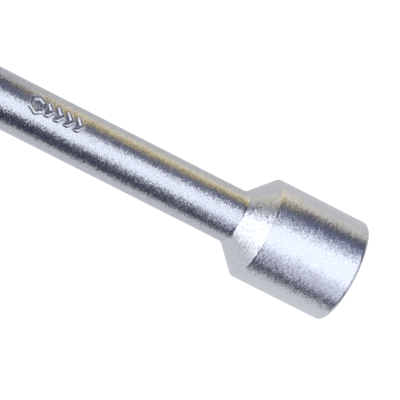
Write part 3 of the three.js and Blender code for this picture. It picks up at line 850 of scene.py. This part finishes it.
def coil_spring(way):
    """A round wire's section carried along a helix whose pitch closes up at both ends: its height
    is the share of the turns, eased in and out. The ends are cut square."""
    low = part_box("detent_spring_21")[0].z / MM + WIRE + 0.08  # clear of the round ball
    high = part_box("detent_spring_21")[1].z / MM - WIRE
    share = np.linspace(0, 1, 240)[:, None]
    angle = share * COIL_TURNS * 2 * np.pi
    rise = low + (high - low) * (share * 0.7 + 0.3 * smooth_step(0.0, 1.0, share))
    round_it = np.arange(14) * 2 * np.pi / 14
    radius = COIL + WIRE * np.cos(round_it)
    rings = np.stack([radius * np.cos(angle), radius * np.sin(angle), rise - WIRE * np.sin(round_it)], -1)
    points, faces = closed_run(rings)
    return mesh_of("coil_spring", set_down(points, way, plunger_place(way)), *faces)


def ball(way):
    """A sphere as rings: heights follow the cosine of the angle from its top, radii the sine."""
    low, high = (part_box("detent_ball_21")[i].z / MM for i in (0, 1))
    radius, angle = 2.0, np.linspace(np.pi, 0, 41)
    outline = np.stack([radius * np.sin(angle), (low + high) / 2 + radius * np.cos(angle)], -1)
    outline[[0, -1], 0] = 0
    return spun("ball", outline, *plunger_place(way), columns=64)


def ball_steel(name):
    """Ground and polished hard steel, with faint pale rubs where it runs in the track."""
    material, shader = new_material(name)
    place = add_node(material, "TexCoord").outputs["Object"]
    rubs = add_node(material, "TexNoise", {"Scale": 1 / (0.8 * MM), "Detail": 4.0, "Roughness": 0.6},
                    Vector=place)
    tint = add_node(material, "Mix", {"data_type": "RGBA", 6: linear("C9CACC"), 7: linear("B4B5B8")},
                    _0=rubs.outputs[0])
    dull = add_node(material, "MapRange", {1: 0.4, 2: 0.7, 3: 0.08, 4: 0.2}, _0=rubs.outputs[0])
    return metal(material, shader, tint.outputs[2], dull.outputs[0])


SHELL_OXIDE = black_oxide("black oxide on screwed shell")
BALL_STEEL = ball_steel("polished hard steel ball")
for size, way in FOLDING:
    shown(f"screwed_shell_{size}", plunger_shell(way), "hub", f"plunger_shell_{size}", "black_oxide",
          SHELL_OXIDE)
    coil = shown(f"coil_{size}", coil_spring(way), "hub", f"detent_spring_{size}", "spring_steel",
                 PIN_STEEL)
    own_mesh(coil)
    shown(f"steel_ball_{size}", ball(way), f"ball_{size}", f"detent_ball_{size}", "ball_steel",
          BALL_STEEL)


# ---- Studio ----
# A pale floor in a dim cool room. One wide softbox hangs overhead, another stands beyond the hub
# and a weak card before the mouth. Two gold cards stand low on the far side, where bar and head
# mirror them, and pale ones fill in the head and the far side.

FLOOR_Z = cad_bounds[0][2]


def studio_floor():
    """A matt pale floor that glows: white to the camera, and in reflections greyer, the more so
    towards the far side."""
    mesh = bpy.data.meshes.new("floor")
    size = 30
    mesh.from_pydata([(-size, -size, FLOOR_Z), (size, -size, FLOOR_Z), (size, size, FLOOR_Z),
                      (-size, size, FLOOR_Z)], [], [(0, 1, 2, 3)])
    floor = bpy.data.objects.new("floor", mesh)
    bpy.context.scene.collection.objects.link(floor)
    material, shader = new_material("pale studio floor")
    shader.inputs["Base Color"].default_value = (0.33, 0.33, 0.33, 1)
    shader.inputs["Roughness"].default_value = 1.0
    shader.inputs["Specular IOR Level"].default_value = 0.0
    shader.inputs["Emission Color"].default_value = (1, 1, 1, 1)
    path = add_node(material, "LightPath")
    place = add_node(material, "TexCoord").outputs["Object"]
    across = add_node(material, "SeparateXYZ", Vector=place).outputs["Y"]
    dim = add_node(material, "MapRange", {1: -0.06, 2: 0.06, 3: 0.63, 4: 0.44}, _0=across)
    glow = add_node(material, "MapRange", {4: 0.84}, _0=path.outputs["Is Camera Ray"], _3=dim.outputs[0])
    material.node_tree.links.new(glow.outputs[0], shader.inputs["Emission Strength"])
    mesh.materials.append(material)


def softbox(name, place, aim, width, height, radiance, colour):
    """A rectangular light of even radiance: its power is pi times radiance times area."""
    lamp = bpy.data.lights.new(name, "AREA")
    lamp.shape = "RECTANGLE"
    lamp.size, lamp.size_y = width, height
    lamp.energy = math.pi * radiance * width * height
    lamp.color = linear(colour)[:3]
    light = bpy.data.objects.new(name, lamp)
    light.location = place
    light.rotation_euler = (Vector(aim) - Vector(place)).to_track_quat("-Z", "Y").to_euler()
    light.visible_camera = False
    bpy.context.scene.collection.objects.link(light)


def studio_world():
    """White behind the object to the camera, and a dim cool room in reflections."""
    world = bpy.data.worlds.new("studio")
    world.use_nodes = True
    tree = world.node_tree
    room = tree.nodes["Background"]
    room.inputs["Color"].default_value = linear("8C96C4")
    room.inputs["Strength"].default_value = 0.2
    white = tree.nodes.new("ShaderNodeBackground")
    white.inputs["Color"].default_value = (1, 1, 1, 1)
    white.inputs["Strength"].default_value = 1.0
    path = tree.nodes.new("ShaderNodeLightPath")
    mix = tree.nodes.new("ShaderNodeMixShader")
    tree.links.new(path.outputs["Is Camera Ray"], mix.inputs[0])
    tree.links.new(room.outputs[0], mix.inputs[1])
    tree.links.new(white.outputs[0], mix.inputs[2])
    tree.links.new(mix.outputs[0], tree.nodes["World Output"].inputs["Surface"])
    bpy.context.scene.world = world


def studio_camera():
    """Above the 19 mm arm, leaning so that its mouth points a little away, with a long lens."""
    lean, roll = math.radians(14.5), math.radians(26.9)
    view = Vector((math.sin(lean), 0, -math.cos(lean)))
    level = Vector((math.cos(lean), 0, math.sin(lean)))
    side = Vector((0, 1, 0))
    right = level * math.cos(roll) + side * math.sin(roll)
    up = side * math.cos(roll) - level * math.sin(roll)
    neck = neck_of(2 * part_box("fixed_arm_19")[1].z, FIXED_REACH)
    aim = Vector((neck, 0, 0)) - level * 10.85 * MM - side * 0.14 * MM
    distance, field = 1.5, 114.6 * MM
    data = bpy.data.cameras.new("camera")
    data.sensor_width = 36
    data.lens = data.sensor_width * distance / field
    data.clip_start, data.clip_end = 0.05, 100
    camera = bpy.data.objects.new("camera", data)
    camera.matrix_world = Matrix((
        (right.x, up.x, -view.x, (aim - view * distance).x),
        (right.y, up.y, -view.y, (aim - view * distance).y),
        (right.z, up.z, -view.z, (aim - view * distance).z),
        (0, 0, 0, 1),
    ))
    bpy.context.scene.collection.objects.link(camera)
    bpy.context.scene.camera = camera


studio_floor()
softbox("overhead softbox", (0.36, 0.05, 1.2), (0.36, 0.05, 0), 2.6, 1.38, 1.7, "F4F8FF")
softbox("rear softbox", (-1.5, -0.35, 0.65), (0.1, 0, 0), 2.2, 1.5, 1.95, "FAFBFF")
softbox("front card", (1.3, 0, 0.35), (0.15, 0, 0), 1.2, 0.7, 0.8, "F4F6FF")
softbox("gold card beside the bar", (0.125, 0.065, 0.0065), (0.125, 0, 0.0065), 0.08, 0.044, 0.66, "FFE07A")
softbox("gold card beside the head", (0.181, 0.065, 0), (0.181, 0, 0), 0.032, 0.031, 0.24, "FFE49C")
softbox("far wall", (0.36, 1.5, 0.95), (0.3, 0, 0), 2.4, 0.9, 0.2, "C8D4FF")
softbox("rear far card", (-0.9, 0.42, 0.2), (0.145, 0, 0.011), 0.35, 0.3, 1.1, "F4F6FF")
softbox("near card by the head", (0.222, -0.105, 0.108), (0.165, -0.005, 0.01), 0.08, 0.105, 1.25, "E4E6F4")
softbox("far card by the head", (0.222, 0.082, 0.115), (0.165, 0.005, 0.01), 0.08, 0.05, 1.25, "E4E6F4")
studio_world()
studio_camera()
bpy.context.scene.view_settings.view_transform = "Standard"
